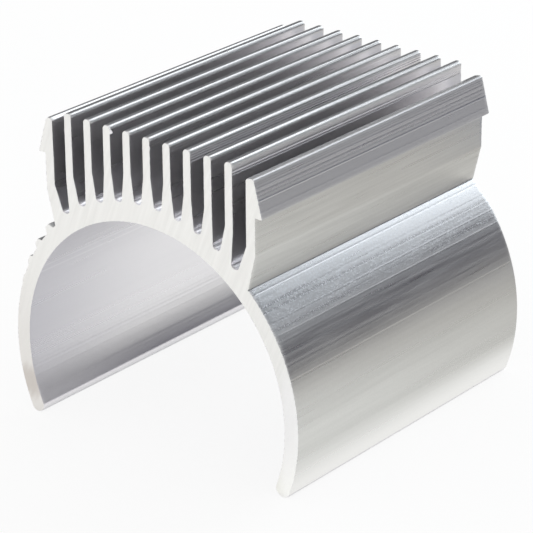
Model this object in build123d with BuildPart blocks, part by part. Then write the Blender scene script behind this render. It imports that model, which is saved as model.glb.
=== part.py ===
from build123d import *
from math import acos, cos, degrees, radians, sin, sqrt
import os

# Clip-on heat sink for a can motor
#
# One aluminium extrusion, sawn to length, so a single section makes the whole part.
# Two curved wings spring around the motor's can and grip it over more than half its
# girth. The crown above them carries nine upright fins between two thicker rails,
# whose barbs hold a clip-on fan. Four small ledges step down the back of the left
# wing, and both wings end in a round lip, so that the can isn't scratched.
#
# The origin lies on the bore's axis, at mid-length. +Y runs along the motor from the
# front end to the rear one, +Z points up along the middle fin, and the section is
# drawn as it is seen from the front end, with +X to the right.

# Driving dimensions, in millimetres, with angles in degrees
length = 38.6

bore_radius = 18.0            # the motor's can is 36 mm across
wing_wall = 1.85
left_wing_drop = 26.9         # how far each wing reaches below the bore's axis
right_wing_drop = 22.95

fin_count = 9                 # plain fins, between the rails
fin_pitch = 2.742
fin_thickness = 1.0           # at the crest
fin_height = 7.68             # from the floor of the middle gaps to the crests
fin_draft = 0.03              # how much each side gains down to the root

web = 2.2                     # metal between the bore and the floors of the gaps
root_depth = 3.2              # height over which a gap narrows to its floor
floor_width = 0.9
root_lean = 0.68              # how far the outermost floors lean towards the middle

rail_thickness = 1.19
rail_step = 1.0               # how far the outer edge of a rail's top stays below the fins
rail_top = 1.03               # width of a rail's top, before its corners are rounded
rail_top_fall = 0.2           # how much the top falls towards the fins
rail_inner_radius = 0.3
rail_outer_radius = 0.2
barb_reach = 0.88             # how far a barb stands out of its rail
barb_drop = 4.0               # from the outer edge of the rail's top to the barb's edge
barb_edge = 0.2               # height of the barb's blunt edge
barb_edge_radius = 0.08
barb_root_radius = 0.1
shoulder_inset = 0.98         # how far the rail's wall leans in before it meets the wing
shoulder_rise = 4.0           # height over which it does

ledge_count = 4
ledge_spacing = 7.67          # angle from one ledge to the next
first_ledge_angle = 1.35      # from the left shoulder down to the foot of the first one
first_ledge_height = 0.66
ledge_height_step = 0.18      # how much each ledge is lower than the one above it
ledge_rise = 0.9              # angles over which a ledge rises to its crest,
ledge_crest = 2.0             # stays there
ledge_fall = 1.1              # and falls back to the wing
ledge_radius = 0.2

full_round = 0.45             # rounding of each edge of a lip, crest or floor, per width

# Sizes that follow from them
wing_radius = bore_radius + wing_wall
floor_circle = bore_radius + web
root_circle = floor_circle + root_depth
crest_height = floor_circle + fin_height
gap_half_width = (fin_pitch - fin_thickness) / 2
outer_gap_place = fin_count / 2 * fin_pitch
rail_inside = outer_gap_place + gap_half_width
rail_outside = rail_inside + rail_thickness
rail_height = crest_height - rail_step
rail_inner_height = rail_height - rail_top_fall
rail_top_slope = rail_top_fall / rail_top
shoulder_place = rail_outside - shoulder_inset
left_shoulder_angle = 180 - degrees(acos(shoulder_place / wing_radius))


def height_on(radius, place):
    """Height of a circle about the bore's axis, at a place to the side of the middle."""
    return sqrt(radius**2 - place**2)


def around(radius, angle):
    """Point on a circle about the bore's axis, at an angle from the right-hand side."""
    return radius * cos(radians(angle)), radius * sin(radians(angle))


# Wings: a ring round the can that stays open at the bottom, with round lips.
with BuildSketch() as wings:
    with BuildLine():
        sweep = 180 + left_wing_drop + right_wing_drop
        bore_side = CenterArc((0, 0), bore_radius, -right_wing_drop, sweep)
        back_side = CenterArc((0, 0), wing_radius, -right_wing_drop, sweep)
        Line(bore_side @ 0, back_side @ 0)
        Line(bore_side @ 1, back_side @ 1)
    make_face()
    fillet(wings.vertices(), full_round * wing_wall)

# Ledges: low ribs with a rounded crest, each lower than the one above it.
with BuildSketch() as ledges:
    for ledge in range(ledge_count):
        foot_angle = left_shoulder_angle + first_ledge_angle + ledge * ledge_spacing
        crest_angle = foot_angle + ledge_rise
        end_angle = crest_angle + ledge_crest + ledge_fall
        crest_circle = wing_radius + first_ledge_height - ledge * ledge_height_step
        seat_circle = bore_radius + wing_wall / 2
        with BuildLine():
            FilletPolyline(
                around(seat_circle, foot_angle),
                around(wing_radius, foot_angle),
                around(crest_circle, crest_angle),
                around(crest_circle, crest_angle + ledge_crest),
                around(wing_radius, end_angle),
                around(seat_circle, end_angle),
                radius=[0, 0, ledge_radius, ledge_radius, 0, 0],
                close=True,
            )
        make_face()

# Crown: the whole block that the gaps are cut from, drawn as its right half.
with BuildSketch() as crown:
    edge_place = rail_outside + barb_reach
    edge_height = rail_height - barb_drop
    shoulder_height = height_on(wing_radius, shoulder_place)
    seat_height = height_on(bore_radius + wing_wall / 2, shoulder_place)
    half_outline = [
        ((0, crest_height), 0),
        ((outer_gap_place, crest_height), 0),
        ((outer_gap_place, rail_inner_height - gap_half_width * rail_top_slope), 0),
        ((rail_inside + rail_top, rail_height), rail_outer_radius),
        ((edge_place, edge_height), barb_edge_radius),
        ((edge_place, edge_height - barb_edge), barb_edge_radius),
        ((rail_outside, edge_height - barb_edge), barb_root_radius),
        ((rail_outside, shoulder_height + shoulder_rise), 0),
        ((shoulder_place, shoulder_height), 0),
        ((shoulder_place, seat_height), 0),
        ((0, seat_height), 0),
    ]
    with BuildLine():
        FilletPolyline(
            *[corner for corner, rounding in half_outline],
            radius=[rounding for corner, rounding in half_outline],
            close=True,
        )
    make_face()
    mirror(about=Plane.YZ)

# Gaps between the fins: straight above, then narrowing to a rounded floor. The floors
# lie on one circle round the bore, and those of the outer gaps lean to the middle.
with BuildSketch() as gaps:
    for gap in range(fin_count + 1):
        middle = (gap - fin_count / 2) * fin_pitch
        root_half_width = gap_half_width - fin_draft
        floor_middle = middle - root_lean * (middle / outer_gap_place) ** 3
        floor_height = height_on(floor_circle, floor_middle)
        left, right = middle - root_half_width, middle + root_half_width
        with BuildLine():
            FilletPolyline(
                (left, height_on(root_circle, left)),
                (floor_middle - floor_width / 2, floor_height),
                (floor_middle + floor_width / 2, floor_height),
                (right, height_on(root_circle, right)),
                (middle + gap_half_width, crest_height),
                (middle - gap_half_width, crest_height),
                radius=[0, full_round * floor_width, full_round * floor_width, 0, 0, 0],
                close=True,
            )
        make_face()

with BuildPart() as heat_sink:
    with BuildSketch(Plane.XZ) as section:
        add(crown.sketch)
        Circle(bore_radius, mode=Mode.SUBTRACT)
        add(wings.sketch)
        add(ledges.sketch)
        add(gaps.sketch, mode=Mode.SUBTRACT)
        for side in (-1, 1):
            rail_corner = (side * rail_inside, rail_inner_height)
            fillet(section.vertices().sort_by_distance(rail_corner)[0], rail_inner_radius)
        crests = section.vertices().group_by(Axis.Y)[-1]
        fillet(crests, full_round * fin_thickness)
    extrude(amount=length / 2, both=True)

heat_sink.part.label = "heat_sink"
os.makedirs("parts", exist_ok=True)
export_step(heat_sink.part, "parts/heat_sink.step")
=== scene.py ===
# %% [markdown]
# # A motor heat sink
#
# The object is one length of aluminium extrusion. It springs around the can of a small motor, and its
# fins carry the heat away. This lesson dresses the packed CAD model: it makes the section again with
# the marks that the die and the saw left, gives it its finish, and sets it in plain studio light.
#
# The first thing is to load the CAD model, which is the fixed frame that everything else follows.

# %% Load the frame
from math import acos, asin, ceil, cos, degrees, inf, pi, radians, sin, sqrt, tan
from random import Random

import bpy
from mathutils import Matrix, Vector


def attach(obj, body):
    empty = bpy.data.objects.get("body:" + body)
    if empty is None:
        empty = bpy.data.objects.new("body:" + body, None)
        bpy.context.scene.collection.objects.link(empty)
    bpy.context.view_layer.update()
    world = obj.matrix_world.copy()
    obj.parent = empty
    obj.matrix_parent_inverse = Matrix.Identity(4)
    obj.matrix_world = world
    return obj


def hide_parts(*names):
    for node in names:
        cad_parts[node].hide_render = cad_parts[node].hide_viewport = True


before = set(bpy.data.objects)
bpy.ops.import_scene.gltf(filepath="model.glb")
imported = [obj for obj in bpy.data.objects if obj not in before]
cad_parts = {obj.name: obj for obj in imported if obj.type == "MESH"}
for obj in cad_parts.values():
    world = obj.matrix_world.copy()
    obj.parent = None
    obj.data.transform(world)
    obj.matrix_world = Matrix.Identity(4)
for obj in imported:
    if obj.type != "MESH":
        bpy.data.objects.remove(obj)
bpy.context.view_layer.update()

# %% [markdown]
# ## The sizes that drive the section
#
# An extrusion is pushed through a die, so one flat drawing says what the whole part is. The numbers
# below are the same driving sizes as in the CAD model, in millimetres and degrees. Everything that
# follows is worked out from them, and becomes metres only when the mesh is made.

# %% Driving sizes of the section
MM = 0.001
length = 38.6

bore_radius = 18.0
wing_wall = 1.85
left_wing_drop = 26.9
right_wing_drop = 22.95

fin_count = 9
fin_pitch = 2.742
fin_thickness = 1.0
fin_height = 7.68
fin_draft = 0.03

web = 2.2
root_depth = 3.2
floor_width = 0.9
root_lean = 0.68

rail_thickness = 1.19
rail_step = 1.0
rail_top = 1.03
rail_top_fall = 0.2
rail_inner_radius = 0.3
barb_reach = 0.88
barb_drop = 4.0
barb_edge = 0.2
barb_edge_radius = 0.08
barb_root_radius = 0.1
shoulder_inset = 0.98
shoulder_rise = 4.0

ledge_count = 4
ledge_spacing = 7.67
first_ledge_angle = 1.35
first_ledge_height = 0.66
ledge_height_step = 0.18
ledge_rise = 0.9
ledge_crest = 2.0
ledge_fall = 1.1
ledge_radius = 0.2

full_round = 0.45
print(f"{fin_count} fins, {fin_pitch} mm apart, over a bore {2 * bore_radius} mm across")

# %% [markdown]
# ### Sizes that follow from them
#
# The floors of the gaps stand on one circle around the bore, the fins end at one height, and the rails
# stay a little below it. These sizes are worked out once, so that the outline, the marks and the finish
# all agree on them.

# %% Sizes that follow
wing_radius = bore_radius + wing_wall
lip_radius = full_round * wing_wall
floor_circle = bore_radius + web
root_circle = floor_circle + root_depth
crest_height = floor_circle + fin_height
gap_half_width = (fin_pitch - fin_thickness) / 2
root_half_width = gap_half_width - fin_draft
outer_gap_place = fin_count / 2 * fin_pitch
rail_inside = outer_gap_place + gap_half_width
rail_outside = rail_inside + rail_thickness
rail_height = crest_height - rail_step
inner_height = rail_height - rail_top_fall
edge_place = rail_outside + barb_reach
edge_height = rail_height - barb_drop
shoulder_place = rail_outside - shoulder_inset
shoulder_height = sqrt(wing_radius**2 - shoulder_place**2)
shoulder_angle = degrees(acos(shoulder_place / wing_radius))
print(f"crests at {crest_height:.2f} mm, rails at {rail_height:.2f} mm")
print(f"shoulders at {shoulder_angle:.1f} degrees")

# %% [markdown]
# ## Drawing the outline
#
# A die is cut from straight runs, arcs and rounded corners, and so is this outline. It could be drawn
# by hand as a curve, but then no size could be changed later. Three small helpers are enough instead.
# The first one walks along an arc and drops points on the way.

# %% Walk along an arc
arc_spacing = 0.16
fewest_steps = 3


def around(radius, angle, centre=(0, 0)):
    """The point at that angle on a circle, in degrees from +X."""
    return centre[0] + radius * cos(radians(angle)), centre[1] + radius * sin(radians(angle))


def arc(radius, start, end, centre=(0, 0), spacing=arc_spacing):
    """Points along an arc, each a corner that needs no rounding."""
    steps = max(fewest_steps, ceil(abs(radians(end - start)) * radius / spacing))
    angles = [start + (end - start) * step / steps for step in range(steps + 1)]
    return [(*around(radius, angle, centre), 0) for angle in angles]


print(len(arc(wing_radius, 0, 90)), "points on a quarter of the wing's outer circle")

# %% [markdown]
# The second helper rounds corners. Each corner comes with its radius, and is replaced by a short arc
# that touches both of its sides.

# %% Round the corners
def rounded(corners, steps=7):
    """Replaces each corner (x, z, radius) of a closed outline with an arc of its radius."""
    outline = []
    for place, (x, z, radius) in enumerate(corners):
        corner = Vector((x, z))
        if radius == 0:
            outline.append(corner)
            continue
        before = (Vector(corners[place - 1][:2]) - corner).normalized()
        after = (Vector(corners[(place + 1) % len(corners)][:2]) - corner).normalized()
        half = before.angle(after) / 2
        centre = corner + (before + after).normalized() * radius / sin(half)
        reach = radius / tan(half)
        first = corner + before * reach - centre
        last = corner + after * reach - centre
        for step in range(steps + 1):
            outline.append(centre + first.slerp(last, step / steps) * radius)
    return outline


test_square = [(0, 0, 1), (4, 0, 1), (4, 4, 1), (0, 4, 1)]
print(len(rounded(test_square)), "points on a square with four round corners")

# %% [markdown]
# The third helper divides long straight runs. A mesh needs those extra points, because the die lines
# that come later can only push on points that are there.

# %% Divide the straight runs
shortest_run = 1e-5


def divided(outline, spacing):
    """Adds points to the straight runs of a closed outline, and drops doubled ones."""
    points = []
    for place, point in enumerate(outline):
        following = outline[(place + 1) % len(outline)]
        run = (following - point).length
        if run < shortest_run:
            continue
        steps = ceil(run / spacing)
        points += [point.lerp(following, step / steps) for step in range(steps)]
    return points


print(len(divided(rounded(test_square), 0.5)), "points once its sides are divided")

# %% [markdown]
# ### The lips of the wings
#
# Both wings end in a round lip, because a sharp edge would scratch the motor's can. A lip is two
# quarter arcs. Its centres stand as far from the outer and the inner circle as the arcs are round, so
# it runs into both without a step.

# %% The two lips
lip_spacing = 0.07


def lip(end_angle, turn):
    """A lip's angles on the outer and inner circle, and its points. Turn is 1 left and -1 right."""
    outer_reach = wing_radius - lip_radius
    inner_reach = bore_radius + lip_radius
    outer_angle = end_angle - turn * degrees(asin(lip_radius / outer_reach))
    inner_angle = end_angle - turn * degrees(asin(lip_radius / inner_reach))
    end_normal = end_angle + turn * 90
    outer_centre = around(outer_reach, outer_angle)
    inner_centre = around(inner_reach, inner_angle)
    outer = arc(lip_radius, outer_angle, end_normal, outer_centre, lip_spacing)
    inner = arc(lip_radius, end_normal, inner_angle + turn * 180, inner_centre, lip_spacing)
    return outer_angle, inner_angle, outer + inner


right_outer, right_inner, right_lip = lip(-right_wing_drop, -1)
left_outer, left_inner, left_lip = lip(180 + left_wing_drop, 1)
print(f"the wings run from {right_outer:.1f} to {left_outer:.1f} degrees")

# %% [markdown]
# ### The gaps and the fins
#
# The fins are what is left between the gaps, so the gaps are drawn. Each one narrows to a rounded
# floor. The floors stand on a circle around the bore, so that the web under them keeps its thickness,
# and those at the sides lean towards the middle.

# %% Gaps and crests
def fin_place(fin):
    """The middle of a fin, counted from 1 at the left."""
    return (fin - (fin_count + 1) / 2) * fin_pitch


def gap_floor(gap):
    """The middle and the height of a gap's floor; gap 0 lies between the left rail and fin 1."""
    middle = (gap - fin_count / 2) * fin_pitch
    floor_middle = middle - root_lean * (middle / outer_gap_place) ** 3
    return floor_middle, sqrt(floor_circle**2 - floor_middle**2)


def root_height(place):
    """How high the root circle stands at that place."""
    return sqrt(root_circle**2 - place**2)


def gap_walls(gap):
    """A gap's corners below the crests, from its right wall over its floor to its left wall."""
    middle = (gap - fin_count / 2) * fin_pitch
    left, right = middle - root_half_width, middle + root_half_width
    floor_middle, floor_height = gap_floor(gap)
    return [
        (right, root_height(right), 0),
        (floor_middle + floor_width / 2, floor_height, full_round * floor_width),
        (floor_middle - floor_width / 2, floor_height, full_round * floor_width),
        (left, root_height(left), 0),
    ]


def fin_crest(fin):
    """The two corners of a fin's crest, from right to left."""
    middle = fin_place(fin)
    return [
        (middle + fin_thickness / 2, crest_height, full_round * fin_thickness),
        (middle - fin_thickness / 2, crest_height, full_round * fin_thickness),
    ]


print("gap floors at", [round(gap_floor(gap)[0], 2) for gap in range(fin_count + 1)], "mm")

# %% [markdown]
# ### The rails
#
# The two rails stand outside the fins, and the barb on each holds a fan's clip. The right rail is drawn
# and mirrored for the left one. Only their tops differ: the left one slopes down to both sides, as if
# it were worn, and the right one has a few narrow facets at its outer corner.

# %% Rails and their tops, with each corner's place from the rail's inside, its drop and its radius
plain_top = ((1.07, 0.19, 0.06), (0.92, 0.09, 0.06), (0.66, 0.06, 0.1))
worn_top = ((0.95, 0.38, 0.25), (0.63, 0.08, 0.12), (0.33, 0.09, 0), (0.03, 0.31, 0.1))
worn_inner_drop = 0.42
worn_inner_radius = 0.05

root_drop = crest_height - root_height(outer_gap_place + root_half_width)
inner_place = rail_inside - fin_draft * ((crest_height - inner_height) / root_drop)


def rail(top, inner_drop, inner_radius):
    """A right-hand rail's corners, from the shoulder up and over its top to the outermost gap."""
    return [
        (shoulder_place, shoulder_height, 0),
        (rail_outside, shoulder_height + shoulder_rise, 0),
        (rail_outside, edge_height - barb_edge, barb_root_radius),
        (edge_place, edge_height - barb_edge, barb_edge_radius),
        (edge_place, edge_height, barb_edge_radius),
        *((rail_inside + place, rail_height - drop, radius) for place, drop, radius in top),
        (inner_place, rail_height - inner_drop, inner_radius),
    ]


right_rail = rail(plain_top, rail_top_fall, rail_inner_radius)
worn_rail = rail(worn_top, worn_inner_drop, worn_inner_radius)
left_rail = [(-x, z, radius) for x, z, radius in reversed(worn_rail)]
print(len(right_rail), "corners on the right rail,", len(left_rail), "on the left one")

# %% [markdown]
# ### The ledges
#
# Four small ledges step down the back of the left wing, each lower than the one above it. They share
# the wing's circle, so each is an arc of the wing, a short climb, a rounded crest and a fall.

# %% Ledges on the left wing
def ledges():
    """The back of the left wing from the shoulder over the ledges, and the angle where they end."""
    corners = []
    angle = 180 - shoulder_angle
    for ledge in range(ledge_count):
        foot = 180 - shoulder_angle + first_ledge_angle + ledge * ledge_spacing
        crest = foot + ledge_rise
        crest_circle = wing_radius + first_ledge_height - ledge * ledge_height_step
        corners += arc(wing_radius, angle, foot)
        corners.append((*around(crest_circle, crest), ledge_radius))
        corners.append((*around(crest_circle, crest + ledge_crest), ledge_radius))
        angle = crest + ledge_crest + ledge_fall
    return corners, angle


ledge_corners, ledge_end = ledges()
print(f"{ledge_count} ledges, down to {ledge_end:.1f} degrees")

# %% [markdown]
# ### The whole outline
#
# Now the pieces are strung together, anticlockwise as seen from the front end: the right lip and wing,
# the right rail, the gaps and fins, the left rail, the ledges, the left wing and lip, and the bore.
# The order matters, because it tells Blender later which side of the wall is metal.

# %% String the pieces together
run_spacing = 0.25

corners = right_lip[::-1] + arc(wing_radius, right_outer, shoulder_angle) + right_rail
for gap in reversed(range(fin_count + 1)):
    corners += gap_walls(gap)
    if gap > 0:
        corners += fin_crest(gap)
corners += left_rail + ledge_corners + arc(wing_radius, ledge_end, left_outer)
corners += left_lip + arc(bore_radius, left_inner, right_inner)

outline = divided(rounded(corners), run_spacing)
ends = outline[1:] + outline[:1]
area = sum(a.x * b.y - b.x * a.y for a, b in zip(outline, ends)) / 2
print(f"{len(corners)} corners, {len(outline)} points, section area {area:.1f} mm2")

# %% [markdown]
# ## The lines of the die
#
# A die is never quite smooth. Each tiny nick or crumb on its edge draws one line along the whole
# length of the metal, and a hand's width of extrusion shows dozens of them. A bump map could fake
# them, but these lines are real: each is a smooth groove or ridge, a few tenths of a millimetre wide
# and less than a tenth deep. A mark is written as a point near the outline, a width and a
# height, which is negative for a groove.
#
# The ones that catch the eye are placed one by one.

# %% The marks that are seen one by one
def part_way(start, end, share):
    """The point at that share of the way between two points."""
    return tuple(a + (b - a) * share for a, b in zip(start, end))


barb_top = (rail_inside + rail_top + 0.05, rail_height - 0.2)
barb_foot = (edge_place, edge_height)
barb_line_share, barb_line_width, barb_line_height = 0.55, 0.16, 0.022

line_width = 0.3
wing_lines = ((45.4, -0.012), (35.9, 0.008), (31.6, 0.009), (22.2, 0.005), (3.0, 0.009))
bore_lines = ((194, -0.004), (187, -0.004))
marks = [(*around(wing_radius, angle), line_width, height) for angle, height in wing_lines]
marks += [(*around(bore_radius, angle), line_width, height) for angle, height in bore_lines]
marks.append((*part_way(barb_top, barb_foot, barb_line_share), barb_line_width, barb_line_height))
marks.append((shoulder_place, shoulder_height, 0.13, -0.08))
marks.append((rail_inside + 0.5, rail_height - 0.1, 0.12, 0.006))
marks += [(-rail_inside, rail_height - drop, 0.1, -0.012) for drop in (0.48, 0.66)]
print(len(marks), "marks on the wings, the bore and the rails")

# %% [markdown]
# Some fins are scored on their right faces, just below the crest, and some of them more than once.
# The table gives each fin's lines by their drop below the crest, and how deep they are.

# %% Scored fins
score_width = 0.2
scored_fins = (
    (3, (0.6,), 0.008),
    (5, (0.5, 0.8), 0.01),
    (6, (0.45, 0.75), 0.02),
    (7, (0.37, 0.64, 0.9, 1.2), 0.036),
    (8, (0.4, 0.62, 0.8), 0.012),
    (9, (0.96, 1.26), 0.045),
)
for fin, drops, depth in scored_fins:
    face = fin_place(fin) + fin_thickness / 2
    marks += [(face, crest_height - drop, score_width, -depth) for drop in drops]
print(len(marks), "marks with the scored fins")

# %% [markdown]
# The fine lines are strewn at random over a stretch of the outline. The random numbers start from a
# fixed seed, so every run gives the same part.

# %% The fine marks, strewn over stretches of the outline
nick = Random(12)
narrowest, widest = 0.7, 1.3


def strewn(count, start, end, width, height, radius=wing_radius):
    """Marks at random places between two points of the outline, or two angles on a circle."""
    found = []
    for mark in range(count):
        share = nick.random()
        if isinstance(start, tuple):
            place = part_way(start, end, share)
        else:
            place = around(radius, start + (end - start) * share)
        found.append((*place, width * nick.uniform(narrowest, widest), height * nick.uniform(-1, 1)))
    return found


barb_middle = part_way(barb_top, barb_foot, 0.4)
wall_top = (rail_outside, edge_height - barb_edge)
wall_foot = (rail_outside, shoulder_height + shoulder_rise)
shoulder = (shoulder_place, shoulder_height)
marks += strewn(10, 38, 46, width=0.3, height=0.003)
marks += strewn(12, 25, 38, width=0.28, height=0.005)
marks += strewn(16, -18, 20, width=0.25, height=0.003)
marks += strewn(16, barb_top, barb_middle, width=0.22, height=0.0065)
marks += strewn(5, barb_middle, barb_foot, width=0.2, height=0.005)
marks += strewn(4, wall_top, wall_foot, width=0.2, height=0.003)
marks += strewn(4, wall_foot, shoulder, width=0.2, height=0.004)
marks += strewn(8, 182, 201, width=0.4, height=0.012, radius=bore_radius)
marks += strewn(6, 120, 182, width=0.6, height=0.006, radius=bore_radius)
print(len(marks), "marks in all, the deepest", min(mark[3] for mark in marks), "mm")

# %% [markdown]
# ### Flaps of burr
#
# The saw folds thin flaps of metal out of the front end, mostly at the floors of the gaps, where
# nothing backs the cut. They are written like marks, but act only on the rim of the front end.

# %% Flaps at the front end
fin_flaps = ((3, 0.55, 0.8, 0.55), (5, 1.1, 0.5, 0.09), (5, 2.2, 0.4, 0.06))
gap_flaps = ((1, 0.04), (2, 0.05), (3, 0.07), (4, 0.08), (5, 0.07), (6, 0.05), (8, 0.05))
gap_flap_width = 0.42

flaps = [(fin_place(fin) + fin_thickness / 2, crest_height - drop, width, height)
         for fin, drop, width, height in fin_flaps]
flaps += [(*gap_floor(gap), gap_flap_width, height) for gap, height in gap_flaps]
print(len(flaps), "flaps at the front end")

# %% [markdown]
# ### Cutting the marks into the outline
#
# Each mark and flap is first moved to the nearest place on the outline, given as the way along it.
# There it becomes a smooth bump, half a wave of a cosine to each side.

# %% Find each mark's place along the outline
starts = [0.0]
for here, following in zip(outline, ends):
    starts.append(starts[-1] + (following - here).length)


def nearest(x, z):
    """How far along the outline the nearest point lies."""
    spot = Vector((x, z))
    best = (inf, 0)
    for here, following, start in zip(outline, ends, starts):
        run = following - here
        share = min(1, max(0, (spot - here).dot(run) / run.length_squared))
        best = min(best, ((here + run * share - spot).length, start + run.length * share))
    return best[1]


def rise(place, bumps):
    """The height of all bumps together at that place."""
    near = [(height, (place - middle) / half)
            for middle, half, height in bumps if abs(place - middle) < half]
    return sum(height * (1 + cos(pi * away)) / 2 for height, away in near)


mark_bumps = [(nearest(x, z), width / 2, height) for x, z, width, height in marks]
flap_bumps = [(nearest(x, z), width / 2, height) for x, z, width, height in flaps]
print(f"the outline is {starts[-1]:.1f} mm long")

# %% [markdown]
# A bump needs points under it to show, so each brings five of its own. Where two points would fall
# almost together one is dropped, and a point of the outline wins over an added one.

# %% Give the outline the points that the marks need
bump_shares = (-1, -0.5, 0, 0.5, 1)
closest = 0.012

added = [middle + half * share for middle, half, height in mark_bumps + flap_bumps for share in bump_shares]
spots = [(start, True) for start in starts[:-1]]
spots += [(place, False) for place in added if 0 < place < starts[-1]]
spots.sort()
kept = [spots[0]]
for spot in spots[1:]:
    if spot[0] - kept[-1][0] >= closest:
        kept.append(spot)
    elif spot[1] > kept[-1][1]:
        kept[-1] = spot

points = []
segment = 0
for place, _ in kept:
    while segment + 1 < len(outline) and starts[segment + 1] <= place:
        segment += 1
    share = (place - starts[segment]) / (starts[segment + 1] - starts[segment])
    points.append(outline[segment].lerp(ends[segment], share))
mark_heights = [rise(place, mark_bumps) for place, _ in kept]
flap_heights = [rise(place, flap_bumps) for place, _ in kept]
print(len(points), "points with the marks")

# %% [markdown]
# ## Maths on sockets
#
# Node trees are built from a lot of small sums. Written node by node they hide the idea, so one small
# class wraps a socket and lets Python's own operators add the Math nodes. It has a few words of its
# own too, such as `between` for a smooth step and `mix` for two colours.

# %% A class for sockets
class Socket:
    """An output socket that can be added, multiplied and compared like a number."""

    def __init__(self, tree, socket):
        self.tree = tree
        self.socket = socket

    def maths(self, operation, *values):
        """Adds a Math node; the values may be numbers or other sockets."""
        return self.tree.add("ShaderNodeMath", {"operation": operation}, dict(enumerate(values)))

    def __add__(self, other):
        return self.maths("ADD", self, other)

    def __sub__(self, other):
        return self.maths("SUBTRACT", self, other)

    def __rsub__(self, other):
        return self.maths("SUBTRACT", other, self)

    def __mul__(self, other):
        return self.maths("MULTIPLY", self, other)

    def __truediv__(self, other):
        return self.maths("DIVIDE", self, other)

    def __pow__(self, other):
        return self.maths("POWER", self, other)

    def __lt__(self, other):
        return self.maths("LESS_THAN", self, other)

    def __gt__(self, other):
        return self.maths("GREATER_THAN", self, other)

    def __abs__(self):
        return self.maths("ABSOLUTE", self)

    __radd__ = __add__
    __rmul__ = __mul__

    def sine(self):
        """The sine of this value, in radians."""
        return self.maths("SINE", self)

    def sign(self):
        """1 where this value is positive and -1 where it is negative."""
        return self.maths("SIGN", self)

    def least(self, other):
        """The smaller of the two values."""
        return self.maths("MINIMUM", self, other)

    def most(self, other):
        """The larger of the two values."""
        return self.maths("MAXIMUM", self, other)

    def between(self, start, end):
        """A smooth step from 0 where this value is start to 1 where it is end."""
        return self.tree.add("ShaderNodeMapRange", {"interpolation_type": "SMOOTHSTEP"},
                             {"Value": self, "From Min": start, "From Max": end})

    def mix(self, under, over):
        """The colour under where this value is 0, and the colour over where it is 1."""
        return self.tree.add("ShaderNodeMix", {"data_type": "RGBA"},
                             {"Factor_Float": self, "A_Color": under, "B_Color": over},
                             output="Result_Color")

    def other(self, name):
        """Another output of the same node."""
        return Socket(self.tree, self.socket.node.outputs[name])


print("words for sockets:", [name for name in vars(Socket) if not name.startswith("_")])

# %% [markdown]
# One method adds any other node. The settings come first, because some of them change which sockets
# the node has. Then its sockets get their values or links.

# %% A class for trees
class Tree:
    """A node tree, of Geometry Nodes or of a material."""

    def __init__(self, node_tree):
        self.node_tree = node_tree

    def add(self, kind, settings=None, values=None, output=0):
        """Adds a node with its settings first, then the values or links of its sockets."""
        node = self.node_tree.nodes.new(kind)
        for name, value in (settings or {}).items():
            setattr(node, name, value)
        for name, value in (values or {}).items():
            self.plug(self.find(node.inputs, name), value)
        return Socket(self, self.find(node.outputs, output)) if node.outputs else node

    def find(self, sockets, name):
        """A socket by its place, its identifier or its name."""
        if isinstance(name, int):
            return sockets[name]
        same = [socket for socket in sockets if socket.identifier == name]
        return same[0] if same else sockets[name]

    def plug(self, target, value):
        """Links a socket to the target, or sets the target to a plain value."""
        if isinstance(value, Socket):
            self.node_tree.links.new(value.socket, target)
        else:
            target.default_value = value


print("trees can", [name for name in vars(Tree) if not name.startswith("_")])

# %% [markdown]
# ## Pushing the section through the die
#
# The shape follows one rule, a section carried along a line, so Geometry Nodes make it. The outline
# comes in as a loop of edges, Curve to Mesh carries it along a straight path, and Set Position then
# adds what the die and the saw did to it:
#
# - the die left fine lines that run the whole length, so they depend only on the place on the outline,
# - the saw left both ends with a slightly broken edge and a ragged, very thin burr.
#
# A node group can be used again for another part, so each of its sizes is an input with a name.

# %% The inputs of the press
press_sizes = {
    "Length": length * MM,
    "Edge": 0.03 * MM,
    "Rim": 0.03 * MM,
    "Die line depth": 0.003 * MM,
    "Die line width": 0.9 * MM,
    "Wave depth": 0.012 * MM,
    "Wave width": 4 * MM,
    "Burr height": 0.05 * MM,
    "Burr width": 0.3 * MM,
}
other_inputs = {"Rows": "NodeSocketInt", "Seed": "NodeSocketInt",
                "Skin": "NodeSocketMaterial", "Sawn": "NodeSocketMaterial"}

press_group = bpy.data.node_groups.new("heat sink press", "GeometryNodeTree")
sockets = press_group.interface
sockets.new_socket("Section", in_out="INPUT", socket_type="NodeSocketGeometry")
for name, size in press_sizes.items():
    sockets.new_socket(name, in_out="INPUT", socket_type="NodeSocketFloat").default_value = size
for name, kind in other_inputs.items():
    sockets.new_socket(name, in_out="INPUT", socket_type=kind)
sockets.new_socket("Heat sink", in_out="OUTPUT", socket_type="NodeSocketGeometry")

tree = Tree(press_group)
given = tree.add("NodeGroupInput")
half_length = given.other("Length") * 0.5
print("inputs of the press:", list(press_sizes) + list(other_inputs))

# %% [markdown]
# ### The section as a curve
#
# The outline becomes a curve, and each of its points stores two things: `along`, its way along the
# outline, and `outward`, the direction out of the metal. Both would be lost in the sweep, and both are
# needed after it.

# %% Turn the outline into a curve that knows its place
def stored(geometry, name, value, kind="FLOAT"):
    """Stores a value on the points of the geometry, under that name."""
    return tree.add("GeometryNodeStoreNamedAttribute", {"data_type": kind, "domain": "POINT"},
                    {"Geometry": geometry, "Name": name, "Value": value})


profile = tree.add("GeometryNodeMeshToCurve", {}, {"Mesh": given.other("Section")})
way_along = tree.add("GeometryNodeSplineParameter").other("Length")
tangent = tree.add("GeometryNodeInputTangent")
way_out = tree.add("ShaderNodeVectorMath", {"operation": "CROSS_PRODUCT"}, {0: tangent, 1: (0, 0, 1)})
profile = stored(profile, "along", way_along)
profile = stored(profile, "outward", way_out, "FLOAT_VECTOR")
print(len(press_group.nodes), "nodes with the section")

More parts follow.
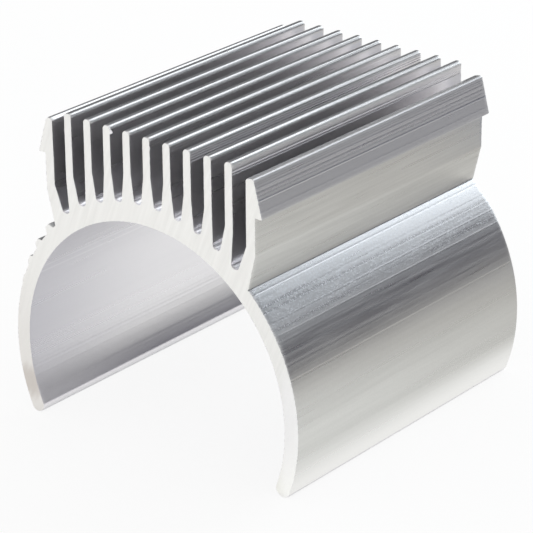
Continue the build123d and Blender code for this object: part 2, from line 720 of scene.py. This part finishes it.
# %% [markdown]
# ### The path
#
# The path's points lie close together at the ends, where the edge and the burr need them, and far
# apart between them, which a sine does. The first and last two points share a place: the ring between
# them is the narrow rim that the burr rises from, and the sawn face inside it stays flat.

# %% Sweep the section along a path, with its points drawn together at both ends
rows = given.other("Rows")
line = tree.add("GeometryNodeCurvePrimitiveLine", {}, {"Start": (0, 0, -1), "End": (0, 0, 1)})
path = tree.add("GeometryNodeResampleCurve", {"mode": "COUNT"}, {"Curve": line, "Count": rows})
row = tree.add("GeometryNodeInputIndex")
turn = ((row - 1) / (rows - 3) * 2 - 1).most(-1).least(1)
row_height = (turn * (pi / 2)).sine() * half_length
row_place = tree.add("ShaderNodeCombineXYZ", {}, {"Z": row_height})
path = tree.add("GeometryNodeSetPosition", {}, {"Geometry": path, "Position": row_place})
path = stored(path, "mouth", (row < 0.5) + (row > (rows - 1.5)))
path = stored(path, "rim", (abs(row - 1) < 0.5) + (abs(row - (rows - 2)) < 0.5))
swept = tree.add("GeometryNodeCurveToMesh", {},
                 {"Curve": path, "Profile Curve": profile, "Fill Caps": True})
print(len(press_group.nodes), "nodes with the sweep")

# %% [markdown]
# ### What the die leaves
#
# Besides the marks there are two ripples that change along the outline only: very shallow lines, and
# waves so broad that they show just as a slow change of light. Both are one-dimensional noise, so
# they run dead straight along the part, as they do on a real extrusion.

# %% Die lines
seed_stride = 17.3
line_start, wave_start, edge_start, burr_start = 0, 50, 90, 130


def attribute(name, kind="FLOAT"):
    """Reads what is stored under that name."""
    return tree.add("GeometryNodeInputNamedAttribute", {"data_type": kind}, {"Name": name})


def ripple(width, start, detail):
    """A smooth random number from about -1 to 1 that changes along the outline only."""
    place = attribute("along") / width + start + given.other("Seed") * seed_stride
    wave = tree.add("ShaderNodeTexNoise", {"noise_dimensions": "1D"},
                    {"W": place, "Scale": 1, "Detail": detail})
    return (wave - 0.5) * 2


lines = ripple(given.other("Die line width"), line_start, detail=1) * given.other("Die line depth")
waves = ripple(given.other("Wave width"), wave_start, detail=1) * given.other("Wave depth")
depth = lines + waves + attribute("mark")
print(len(press_group.nodes), "nodes with the die lines")

# %% [markdown]
# ### What the saw leaves
#
# At both ends the skin turns in by a few hundredths of a millimetre, which breaks the edge. Thin burr
# rises in places from the rim, and the flaps bulge out of it at the front end.

# %% Broken edges, burr and flaps
ragged_edge = 0.5
edge_shift, burr_shift = 7, 11
flap_lift = 0.2

swept_place = tree.add("GeometryNodeInputPosition")
lengthwise = tree.add("ShaderNodeSeparateXYZ", {}, {0: swept_place}).other("Z")
end = lengthwise.sign()
rim = attribute("rim")
edge = given.other("Edge")
burr_width = given.other("Burr width")
flap = attribute("flap") * rim * (end > 0)
broken = edge * (half_length - abs(lengthwise) < edge * 0.5)
ragged = 1 + ragged_edge * ripple(burr_width, edge_start + end * edge_shift, detail=2)
inset = broken * ragged + attribute("mouth") * given.other("Rim") - flap
burr = ripple(burr_width, burr_start + end * burr_shift, detail=3).most(0)
lift = burr * given.other("Burr height") * rim * end + flap_lift * flap
print(len(press_group.nodes), "nodes with the saw's marks")

# %% [markdown]
# ### Moving the points
#
# All marks move points in the plane of the section, towards or away from the metal. Only the burr
# and the flaps also move them along the part.

# %% Move the points
sideways = tree.add("ShaderNodeVectorMath", {"operation": "SCALE"},
                    {0: attribute("outward", "FLOAT_VECTOR"), "Scale": depth - inset})
lengthways = tree.add("ShaderNodeCombineXYZ", {}, {"Z": lift})
offset = tree.add("ShaderNodeVectorMath", {"operation": "ADD"}, {0: sideways, 1: lengthways})
marked = tree.add("GeometryNodeSetPosition", {}, {"Geometry": swept, "Offset": offset})
print(len(press_group.nodes), "nodes with the moved points")

# %% [markdown]
# ### Shading and materials
#
# The part was swept along Z, so it is turned to lie along Y. The sawn faces are those that look
# straight along Y. They get their own material and flat shading, and every edge sharper than 28
# degrees stays crisp, so that the corners of the section don't look like soft plastic.

# %% Lay the part along Y, and give it its materials
square_on = 0.99
crisp_angle = radians(28)


def shaded(shape, domain, smooth, chosen=True):
    """Makes the chosen faces or edges of the shape smooth or crisp."""
    return tree.add("GeometryNodeSetShadeSmooth", {"domain": domain},
                    {0: shape, "Selection": chosen, "Shade Smooth": smooth})


laid = tree.add("GeometryNodeTransform", {}, {"Geometry": marked, "Rotation": (pi / 2, 0, 0)})
normal = tree.add("ShaderNodeSeparateXYZ", {}, {0: tree.add("GeometryNodeInputNormal")}).other("Y")
bend = tree.add("GeometryNodeInputMeshEdgeAngle")
above = {"data_type": "FLOAT", "operation": "GREATER_THAN"}
cut_face = tree.add("FunctionNodeCompare", above, {"A": abs(normal), "B": square_on})
crisp = tree.add("FunctionNodeCompare", above, {"A": bend, "B": crisp_angle})
shape = shaded(laid, "FACE", True)
shape = shaded(shape, "EDGE", False, crisp)
shape = shaded(shape, "FACE", False, cut_face)
shape = tree.add("GeometryNodeRealizeInstances", {}, {"Geometry": shape})
shape = tree.add("GeometryNodeSetMaterial", {}, {"Geometry": shape, "Material": given.other("Skin")})
shape = tree.add("GeometryNodeSetMaterial", {},
                 {"Geometry": shape, "Selection": cut_face, "Material": given.other("Sawn")})
tree.add("NodeGroupOutput", {}, {0: shape})
print(len(press_group.nodes), "nodes in the whole press")

# %% [markdown]
# ## The finish
#
# Extruded aluminium is bare metal with a soft sheen. Its colour hardly changes: what makes it look
# real is how its gloss changes across the section, because every flaw of the die draws a line along
# the whole length. So the pattern reads the attribute `along`, the distance round the outline, across
# the lines, and the object's own Y coordinate only very slowly along them.

# %% Start a material
def new_material(name):
    """An empty material and its tree."""
    material = bpy.data.materials.new(name)
    material.use_nodes = True
    material.node_tree.nodes.clear()
    return material, Tree(material.node_tree)


def place_on_part(tree):
    """The place on the part as a vector in metres, then across, along and up in millimetres."""
    spot = tree.add("ShaderNodeTexCoord", output="Object")
    across = tree.add("ShaderNodeSeparateXYZ", {}, {0: spot})
    return spot, across / MM, across.other("Y") / MM, across.other("Z") / MM


def distance(across, upwards, place):
    """How far a place of the section is from the surface, in millimetres."""
    return ((across - place[0]) ** 2 + (upwards - place[1]) ** 2) ** 0.5


skin, tree = new_material("extruded aluminium")
along = tree.add("ShaderNodeAttribute", {"attribute_name": "along"}, output="Fac") / MM
spot, sideways, lengthwise, upwards = place_on_part(tree)
from_axis = (sideways ** 2 + upwards ** 2) ** 0.5
print(len(tree.node_tree.nodes), "nodes read the place on the skin")

# %% [markdown]
# ### Where the skin differs
#
# Some stretches of the skin look different: the inside of the gaps and of the bore, the lower wings
# down to the lips, the barbs, a frosted band below the right shoulder, a brushed streak on the last fin
# and the worn corner of the right rail. The gaps, the bore and the lower wings carry painted light, and
# the barbs and the band a painted darker, bluish shade. Each is a mask, a number that goes smoothly
# from 0 to 1 over a tenth of a millimetre or more.

# %% Masks of the skin
soft = 0.1
gap_shade_start, gap_shade_full = 0.2, 0.6
# Painted light: below the crests the gaps are painted paler, for the light that bounces into them.
in_gaps = from_axis.between(floor_circle - soft, floor_circle)
in_gaps = in_gaps * abs(sideways).between(rail_inside + soft / 2, rail_inside)
in_gaps = in_gaps * upwards.between(crest_height - gap_shade_start, crest_height - gap_shade_full)

in_bore = from_axis.between(bore_radius + soft, bore_radius)
# Painted light: the lower wings outside the bore are painted paler, for the bright floor that they mirror.
lip_start, lip_full, lip_light_share = -1.5, -6.5, 0.9
lips_painted_light = upwards.between(lip_start, lip_full) * (1 - in_bore) * lip_light_share

# Painted reflection: the barbs get a darker bluish shade, with paler painted streaks, for the light that
# they mirror.
barb_soft = 0.3
barb_painted_tint = sideways.between(rail_outside - barb_soft, rail_outside)
barb_painted_tint = barb_painted_tint * upwards.between(edge_height - barb_soft, edge_height)

# Painted shade: the band below the right shoulder is painted a darker bluish grey; the frost in it is real
# grain.
right_start, right_full = 12, 13
band_start, band_full = 9.5, 12.0
band_frost_and_shade = sideways.between(right_start, right_full) * upwards.between(band_start, band_full)
band_frost_and_shade = band_frost_and_shade * upwards.between(shoulder_height + 2 * soft, shoulder_height)
band_frost_and_shade = band_frost_and_shade * from_axis.between(wing_radius + soft, wing_radius)

brush_start, brush_full = 1.4, 1.0
last_face = fin_place(fin_count) + fin_thickness / 2
brushed = abs(sideways - last_face).between(soft, soft / 5)
brushed = brushed * upwards.between(crest_height - brush_start, crest_height - brush_full)

worn_reach, worn_full = 0.65, 0.15
from_corner = distance(sideways, upwards, (rail_inside + rail_top, rail_height))
worn = from_corner.between(worn_reach, worn_full)
print(len(tree.node_tree.nodes), "nodes with the masks")

# %% [markdown]
# ### Streaks and grain
#
# Three layers of noise are drawn out along the part: fine lines, broad bands, and short silky streaks
# that are strongest on the crown. A fourth one isn't drawn out. It is the grain of the metal, and
# its peaks make the frost, whose pale bluish specks are painted glints.

# %% Patterns of the skin
def streaks(across, lengthways, detail, offset=0.0):
    """Noise with so many lines per millimetre across the part, and so many changes along it."""
    vector = tree.add("ShaderNodeCombineXYZ", {},
                      {"X": along * across + offset, "Y": lengthwise * lengthways})
    return tree.add("ShaderNodeTexNoise", {"noise_dimensions": "2D"},
                    {"Vector": vector, "Scale": 1, "Detail": detail}, output="Fac")


fine = streaks(across=1.6, lengthways=0.003, detail=1)
broad = streaks(across=0.35, lengthways=0.01, detail=2, offset=40)
silk = streaks(across=2.4, lengthways=0.10, detail=1, offset=80) - 0.5
wing_silk, crown_silk = 0.35, 0.65
wing_end, crown_start = 5, 9
silk = silk * (wing_silk + crown_silk * upwards.between(wing_end, crown_start) * (1 - in_gaps))

grain_size = 0.2 * MM
# The frost lies on the grain's peaks; its pale bluish colour is painted glints.
frost_start, frost_full = 0.5, 0.66
grain = tree.add("ShaderNodeTexNoise", {"noise_dimensions": "3D"},
                 {"Vector": spot, "Scale": 1 / grain_size, "Detail": 2}, output="Fac")
frost_and_glints = grain.between(frost_start, frost_full) * band_frost_and_shade
print(len(tree.node_tree.nodes), "nodes with the patterns")

# %% [markdown]
# ### The colour of the skin
#
# The metal itself is a plain grey that the patterns make a little darker or paler. Over it lie the
# masks. Painted light makes the gaps, the bore and the lower wings almost white: it stands for the
# light that bounces into the gaps and the bright floor that the bore and the wings mirror. A painted
# darker, bluish shade lies on the barbs and in the band below the right shoulder, with painted paler
# streaks on the barbs and painted pale bluish glints on the frost. Two pale scratches lie high in the
# bore.

# %% Shades of the skin
dark_grey = (0.56, 0.56, 0.56, 1)
pale_grey = (0.69, 0.69, 0.69, 1)
grain_tone, silk_tone = 0.5, 1.1
tone = (broad + grain_tone * (grain - 0.5) + silk_tone * silk).least(1).most(0)

# Painted light: the bore is painted paler, more so towards its lower edges, for the floor that it mirrors.
bore_painted_light, bore_lip_painted_light = 0.78, 0.16
bore_lip_start, bore_lip_full = -5.6, -7.4
bore_light_share = bore_painted_light + bore_lip_painted_light * upwards.between(bore_lip_start, bore_lip_full)
painted_light = (in_gaps + lips_painted_light + in_bore * bore_light_share).least(1)
cloudy = in_bore * (0.6 * broad + silk)

scratch_reach, scratch_full = 0.2, 0.06
scratches = [distance(sideways, upwards, around(bore_radius, angle)).between(scratch_reach, scratch_full)
             for angle in (151.7, 148.6)]

layers = (
    (painted_light, (0.88, 0.87, 0.885, 1)),
    (0.5 * cloudy, (0.72, 0.715, 0.73, 1)),
    (0.3 * sum(scratches), (1.0, 1.0, 1.0, 1)),
    (0.75 * barb_painted_tint, (0.475, 0.48, 0.518, 1)),
    (0.6 * barb_painted_tint * fine, (0.65, 0.655, 0.70, 1)),
    (0.4 * band_frost_and_shade, (0.52, 0.54, 0.58, 1)),
    (0.27 * frost_and_glints, (0.82, 0.86, 0.93, 1)),
)
colour = tone.mix(dark_grey, pale_grey)
for share, shade in layers:
    colour = share.mix(colour, shade)
print(len(layers), "layers over the grey")

# %% [markdown]
# ### The gloss of the skin
#
# Polished metal has a roughness near 0.2, and each pattern adds its share. A very shallow bump lets
# the fine lines catch the light. It is held back in the bore, which the can keeps smooth.

# %% Gloss and bump, and the finished skin
polished = 0.2
rougher = ((0.1, fine), (0.1, broad), (0.15, frost_and_glints), (0.19, brushed), (0.15, worn), (0.08, silk))
roughness = polished + sum(share * pattern for share, pattern in rougher)

skin_bump_strength = 0.5
skin_bump_depth = 0.01 * MM
bore_calm, grain_bump = 0.8, 0.25
bump = tree.add("ShaderNodeBump", {}, {
    "Strength": skin_bump_strength, "Distance": skin_bump_depth,
    "Height": fine * (1 - bore_calm * in_bore) + grain_bump * grain})
shader = tree.add("ShaderNodeBsdfPrincipled", {}, {
    "Base Color": colour, "Metallic": 1.0, "Roughness": roughness, "Normal": bump})
tree.add("ShaderNodeOutputMaterial", {}, {"Surface": shader})
print(skin.name, "has", len(tree.node_tree.nodes), "nodes")

# %% [markdown]
# ### The sawn ends
#
# The saw cuts straight across. Its teeth leave fine parallel scores, steep and slightly bent, and a
# matte face that is much paler than the skin, because it throws the light of the whole room back. The
# scores are noise again, stretched along a direction that a Mapping node turns by 22 degrees.

# %% Scores of the saw
sawn, tree = new_material("sawn aluminium")
spot, sideways, _, upwards = place_on_part(tree)
score_turn = radians(-22)
score_across, score_along = 2.2, 0.12
turned = tree.add("ShaderNodeMapping", {}, {"Vector": spot, "Rotation": (0, score_turn, 0)})
parts = tree.add("ShaderNodeSeparateXYZ", {}, {0: turned})
vector = tree.add("ShaderNodeCombineXYZ", {},
                  {"X": parts / MM * score_across, "Y": parts.other("Z") / MM * score_along})
scores = tree.add("ShaderNodeTexNoise", {"noise_dimensions": "2D"},
                  {"Vector": vector, "Scale": 1, "Detail": 4}, output="Fac")
print("scores turned by", round(degrees(score_turn)), "degrees")

# %% [markdown]
# The face isn't the same all over. The left wing is a little darker, and darker still near its tip,
# and a patch of the right wing is paler, a painted glare. These are soft masks too.

# %% Shades of the sawn face, and the finished material
# Painted glare: a patch of the right wing's face is painted paler.
painted_glare = sideways.between(17, 18.3) * upwards.between(9, 4)
# The left wing's face is darker, and darker still near its tip.
left_wing_darker = sideways.between(-12, -17) * upwards.between(14, -4)
tip_dark_place = (-18.3, -5.2)
tip_dark_wander = 1.2
tip_dark_reach, tip_dark_full = 2.6, 0.8
tip_darker = distance(sideways, upwards, tip_dark_place) + tip_dark_wander * (scores - 0.5)
tip_darker = tip_darker.between(tip_dark_reach, tip_dark_full)

colour = scores.mix((0.865, 0.86, 0.835, 1), (0.99, 0.985, 0.96, 1))
colour = (0.9 * painted_glare).mix(colour, (1.0, 0.995, 0.99, 1))
colour = left_wing_darker.mix(colour, (0.85, 0.83, 0.80, 1))
colour = tip_darker.mix(colour, (0.69, 0.65, 0.61, 1))

sawn_bump_strength = 0.6
sawn_bump_depth = 0.03 * MM
bump = tree.add("ShaderNodeBump", {},
                {"Strength": sawn_bump_strength, "Distance": sawn_bump_depth, "Height": scores})
shader = tree.add("ShaderNodeBsdfPrincipled", {}, {
    "Base Color": colour, "Metallic": 0.7, "Roughness": 0.55, "Normal": bump})
tree.add("ShaderNodeOutputMaterial", {}, {"Surface": shader})
print(sawn.name, "has", len(tree.node_tree.nodes), "nodes")

# %% [markdown]
# ## Pressing the part
#
# The outline becomes a loop of edges that carries the heights of its marks. The press is put on it as
# a modifier, its inputs are set, and the evaluated result is copied into a plain mesh. A plain mesh is
# what the exported model needs, and it also frees the part from the loop.

# %% Press the section, and turn the result into a plain mesh
loop = bpy.data.meshes.new("section")
ring = [(place, (place + 1) % len(points)) for place in range(len(points))]
loop.from_pydata([(point.x * MM, point.y * MM, 0) for point in points], ring, [])
for name, heights in (("mark", mark_heights), ("flap", flap_heights)):
    values = [height * MM for height in heights]
    loop.attributes.new(name, "FLOAT", "POINT").data.foreach_set("value", values)
section = bpy.data.objects.new("section", loop)
bpy.context.scene.collection.objects.link(section)

press = section.modifiers.new("press", "NODES")
press.node_group = press_group
settings = {**press_sizes, "Rows": 30, "Seed": 4, "Skin": skin, "Sawn": sawn}
for item in press_group.interface.items_tree:
    if item.name in settings:
        press[item.identifier] = settings[item.name]

seen = section.evaluated_get(bpy.context.evaluated_depsgraph_get())
body = bpy.data.objects.new("heat_sink_body", bpy.data.meshes.new_from_object(seen))
body.data.name = "heat_sink_body"
bpy.context.scene.collection.objects.link(body)
section.modifiers.remove(press)
bpy.data.objects.remove(section)
triangles = sum(len(face.vertices) - 2 for face in body.data.polygons)
print("materials:", [material.name for material in body.data.materials], "triangles:", triangles)

# %% [markdown]
# ## The camera
#
# The camera is a long lens at some distance, which flattens the perspective. It looks down on the
# front end from the right, and its place was found by fitting the part's own edges to the picture.

# %% Camera
sensor_width = 36.0
picture_size = 533
focal_pixels = 2654.26
azimuth = radians(39.936)
elevation = radians(23.815)
roll = radians(0.4906)
camera_distance = 280.065
camera_right = 12.028
camera_up = 12.4045
nearest_seen = 0.01
farthest_seen = 20

back = Vector((sin(azimuth) * cos(elevation), -cos(azimuth) * cos(elevation), sin(elevation)))
level_right = (-back).cross(Vector((0, 0, 1))).normalized()
level_down = (-back).cross(level_right)
right = level_right * cos(roll) + level_down * sin(roll)
up = level_right * sin(roll) - level_down * cos(roll)
front_bore = Vector((0, -length / 2, 0))

camera_data = bpy.data.cameras.new("camera")
camera_data.sensor_width = sensor_width
camera_data.lens = focal_pixels * sensor_width / picture_size
camera_data.clip_start = nearest_seen
camera_data.clip_end = farthest_seen
camera = bpy.data.objects.new("camera", camera_data)
turned = Matrix((right, up, back)).transposed().to_4x4()
turned.translation = (front_bore + back * camera_distance + right * camera_right + up * camera_up) * MM
camera.matrix_world = turned
bpy.context.scene.collection.objects.link(camera)
bpy.context.scene.camera = camera
print(f"camera at {tuple(round(c, 4) for c in camera.location)}, lens {camera_data.lens:.1f} mm")

# %% [markdown]
# ## The floor
#
# The heat sink lies on a plain white floor, on both of its round lips. One wing is a little longer,
# so the floor is tilted by two degrees instead of the part. The floor touches both lips, so its slope
# is that of the line between their centres.

# %% Where the floor lies
lip_reach = wing_radius - lip_radius
left_foot = Vector(around(lip_reach, left_outer))
right_foot = Vector(around(lip_reach, right_outer))
tilt = (right_foot - left_foot).angle_signed(Vector((1, 0)))
floor_normal = Vector((-sin(tilt), cos(tilt)))
floor_point = (left_foot - floor_normal * lip_radius) * MM

half = 3.0
sheet_corners = [(-half, -half, 0), (half, -half, 0), (half, half, 0), (-half, half, 0)]
floor_mesh = bpy.data.meshes.new("floor")
floor_mesh.from_pydata(sheet_corners, [], [(0, 1, 2, 3)])
floor_mesh.transform(Matrix.Rotation(-tilt, 4, "Y"))
floor_mesh.transform(Matrix.Translation(Vector((floor_point.x, 0, floor_point.y))))
floor = bpy.data.objects.new("floor", floor_mesh)
bpy.context.scene.collection.objects.link(floor)
print(f"floor tilted by {degrees(tilt):.2f} degrees")

# %% [markdown]
# The picture's ground is white. More light would bleach the metal, so the floor instead glows a little
# for the rays that the camera, a reflection or a clear thing sends. All other light finds matte paper,
# which keeps the object's shadow. From below the sheet is clear, so that the part can be seen there.

# %% White paper
floor_glow = 0.86
contact = 0.004


def seen_white(path):
    """1 for the rays of a Light Path node that show the background white."""
    seen = path.other("Is Camera Ray").most(path.other("Is Glossy Ray"))
    return seen.most(path.other("Is Transmission Ray"))


paper, tree = new_material("white paper")
path = tree.add("ShaderNodeLightPath")
matte = tree.add("ShaderNodeBsdfDiffuse", {}, {"Color": (0.95, 0.95, 0.95, 1)})
glow = tree.add("ShaderNodeEmission", {}, {"Color": (1, 1, 1, 1), "Strength": 1.0})
open_air = tree.add("ShaderNodeAmbientOcclusion", {"samples": 8}, {"Distance": contact}).other("AO")
share = seen_white(path) * floor_glow * open_air.most(path.other("Is Camera Ray"))
lit = tree.add("ShaderNodeMixShader", {}, {0: share, 1: matte, 2: glow})
below = tree.add("ShaderNodeNewGeometry", output="Backfacing")
clear = tree.add("ShaderNodeBsdfTransparent")
sheet = tree.add("ShaderNodeMixShader", {}, {0: below, 1: lit, 2: clear})
tree.add("ShaderNodeOutputMaterial", {}, {"Surface": sheet})
floor_mesh.materials.append(paper)
print(paper.name, "glows by", floor_glow)

# %% [markdown]
# ## The light
#
# Metal shows little of the light itself and a lot of what stands around it. The room is a plain, even
# white, and one large soft box stands behind the part. It brightens what faces up and back.

# %% The room and the soft box
room_light = 0.85

world = bpy.data.worlds.new("plain studio")
world.use_nodes = True
world.node_tree.nodes.clear()
tree = Tree(world.node_tree)
shown = seen_white(tree.add("ShaderNodeLightPath"))
backdrop = tree.add("ShaderNodeBackground", {},
                    {"Color": (1, 1, 1, 1), "Strength": room_light + (1 - room_light) * shown})
tree.add("ShaderNodeOutputWorld", {}, {"Surface": backdrop})
bpy.context.scene.world = world


def facing(place, target):
    """A frame at that place whose -Z points at the target."""
    turned = (Vector(target) - Vector(place)).to_track_quat("-Z", "Y").to_matrix().to_4x4()
    turned.translation = place
    return turned


def soft_box(name, place, target, width, height, radiance, colour):
    """A rectangular lamp of that size, with its brightness given as radiance."""
    lamp = bpy.data.lights.new(name, "AREA")
    lamp.shape = "RECTANGLE"
    lamp.size = width
    lamp.size_y = height
    lamp.energy = radiance * pi * width * height
    lamp.color = colour
    box = bpy.data.objects.new(name, lamp)
    box.matrix_world = facing(place, target)
    box.visible_camera = False
    bpy.context.scene.collection.objects.link(box)
    return box


box = soft_box("soft box", place=(0.065, 0.40, 0.26), target=(0.065, 0, 0.01),
               width=0.31, height=0.42, radiance=1.55, colour=(0.87, 0.945, 1.0))
print(box.name, "of", round(box.data.energy, 3), "W in a room of", room_light)

# %% [markdown]
# ### Cards
#
# Photographers place cards around shiny things, just to be mirrored in them. A dark card draws the
# dark band along the wing, grey ones shade the rail, the fins and the bore, and low ones warm what
# faces the floor. The low grey ones are a painted shadow: they stand for the part's shadow on the
# floor, under it and behind it, as the metal mirrors it. Only reflections see them, so they cast no
# shadow and add no light to the floor. A card may fade in from its front or its rear edge, where a
# hard border would draw a line.

# %% Make a card
def card(name, corners, shade, soft=0):
    """A card for reflections. It fades in over soft metres from its front edge, or rear if negative."""
    mesh = bpy.data.meshes.new(name)
    mesh.from_pydata(corners, [], [(0, 1, 2, 3)])
    board = bpy.data.objects.new(name, mesh)
    bpy.context.scene.collection.objects.link(board)
    tone, tree = new_material(name)
    surface = tree.add("ShaderNodeEmission", {}, {"Color": (*shade, 1)})
    if soft:
        depths = [corner[1] for corner in corners]
        edge = min(depths) if soft > 0 else max(depths)
        spot = tree.add("ShaderNodeTexCoord", output="Object")
        depth = tree.add("ShaderNodeSeparateXYZ", {}, {0: spot}).other("Y")
        clear = tree.add("ShaderNodeBsdfTransparent")
        shown = depth.between(edge, edge + soft)
        surface = tree.add("ShaderNodeMixShader", {}, {0: shown, 1: clear, 2: surface})
    tree.add("ShaderNodeOutputMaterial", {}, {"Surface": surface})
    mesh.materials.append(tone)
    board.visible_camera = False
    board.visible_diffuse = False
    board.visible_shadow = False
    return board


def standing(place, target, width, height):
    """The corners of an upright card at that place, turned to the target."""
    turned = facing(place, target)
    sides = ((-1, -1), (1, -1), (1, 1), (-1, 1))
    return [turned @ Vector((x * width / 2, y * height / 2, 0)) for x, y in sides]


def lying(left, right, front, rear, gap=0.001):
    """The corners of a card that lies just above the floor."""
    def height(x):
        return floor_point.y + (x - floor_point.x) * tan(tilt) + gap
    return [(x, y, height(x)) for x, y in ((left, front), (right, front), (right, rear), (left, rear))]


print(f"at the bore's middle a card lies at z = {lying(0, 1, 0, 1)[0][2] / MM:.1f} mm")

# %% [markdown]
# Each card's place was worked out from what it should be seen in: a ray followed from the camera to a
# face of the part, and from there to where it would hit the card.

# %% Set the cards
cards = [
    card("dark card",
         standing(place=(0.62, 0.62, 0.1825), target=(0, 0, 0.1825), width=0.75, height=0.355),
         shade=(0.050, 0.046, 0.068)),
    card("grey card",
         standing(place=(0.2645, 0.19, 0.206), target=(0.2645, 0, 0.206), width=0.289, height=0.208),
         shade=(0.56, 0.58, 0.60)),
    card("near card",
         standing(place=(0.114, 0.10, 0.135), target=(0.114, 0, 0.135), width=0.088, height=0.079),
         shade=(0.05, 0.06, 0.08)),
    card("left card",
         standing(place=(-0.45, 0.42, 0.30), target=(-0.45, 0, 0.30), width=0.72, height=0.80),
         shade=(0.20, 0.20, 0.21)),
    card("rear flag",
         standing(place=(0.015, 0.061, 0.072), target=(0.015, 0, 0.072), width=0.030, height=0.034),
         shade=(0.66, 0.69, 0.73)),
    # Painted shadow: the lying grey cards stand for the part's shadow on the floor, as the metal mirrors
    # it.
    card("floor shadow card", lying(left=0.021, right=0.30, front=-0.02, rear=0.30),
         shade=(0.655, 0.64, 0.60), soft=0.09),
    card("under shadow card", lying(left=-0.016, right=0.013, front=-0.04, rear=0.017),
         shade=(0.62, 0.62, 0.65), soft=-0.03),
    card("rear shadow strip", lying(left=0.030, right=0.075, front=0.073, rear=0.115, gap=0.0015),
         shade=(0.42, 0.44, 0.50)),
    card("warm sheet", lying(left=0.015, right=0.60, front=-0.10, rear=0.30, gap=0.0005),
         shade=(0.965, 0.972, 0.935)),
]
print(len(cards), "cards:", [board.name for board in cards])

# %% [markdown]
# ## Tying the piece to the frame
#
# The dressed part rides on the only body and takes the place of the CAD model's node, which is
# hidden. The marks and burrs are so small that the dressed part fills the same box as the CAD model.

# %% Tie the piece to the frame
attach(body, "root")
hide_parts("heat_sink")

scene = bpy.context.scene
scene.view_settings.view_transform = "Standard"
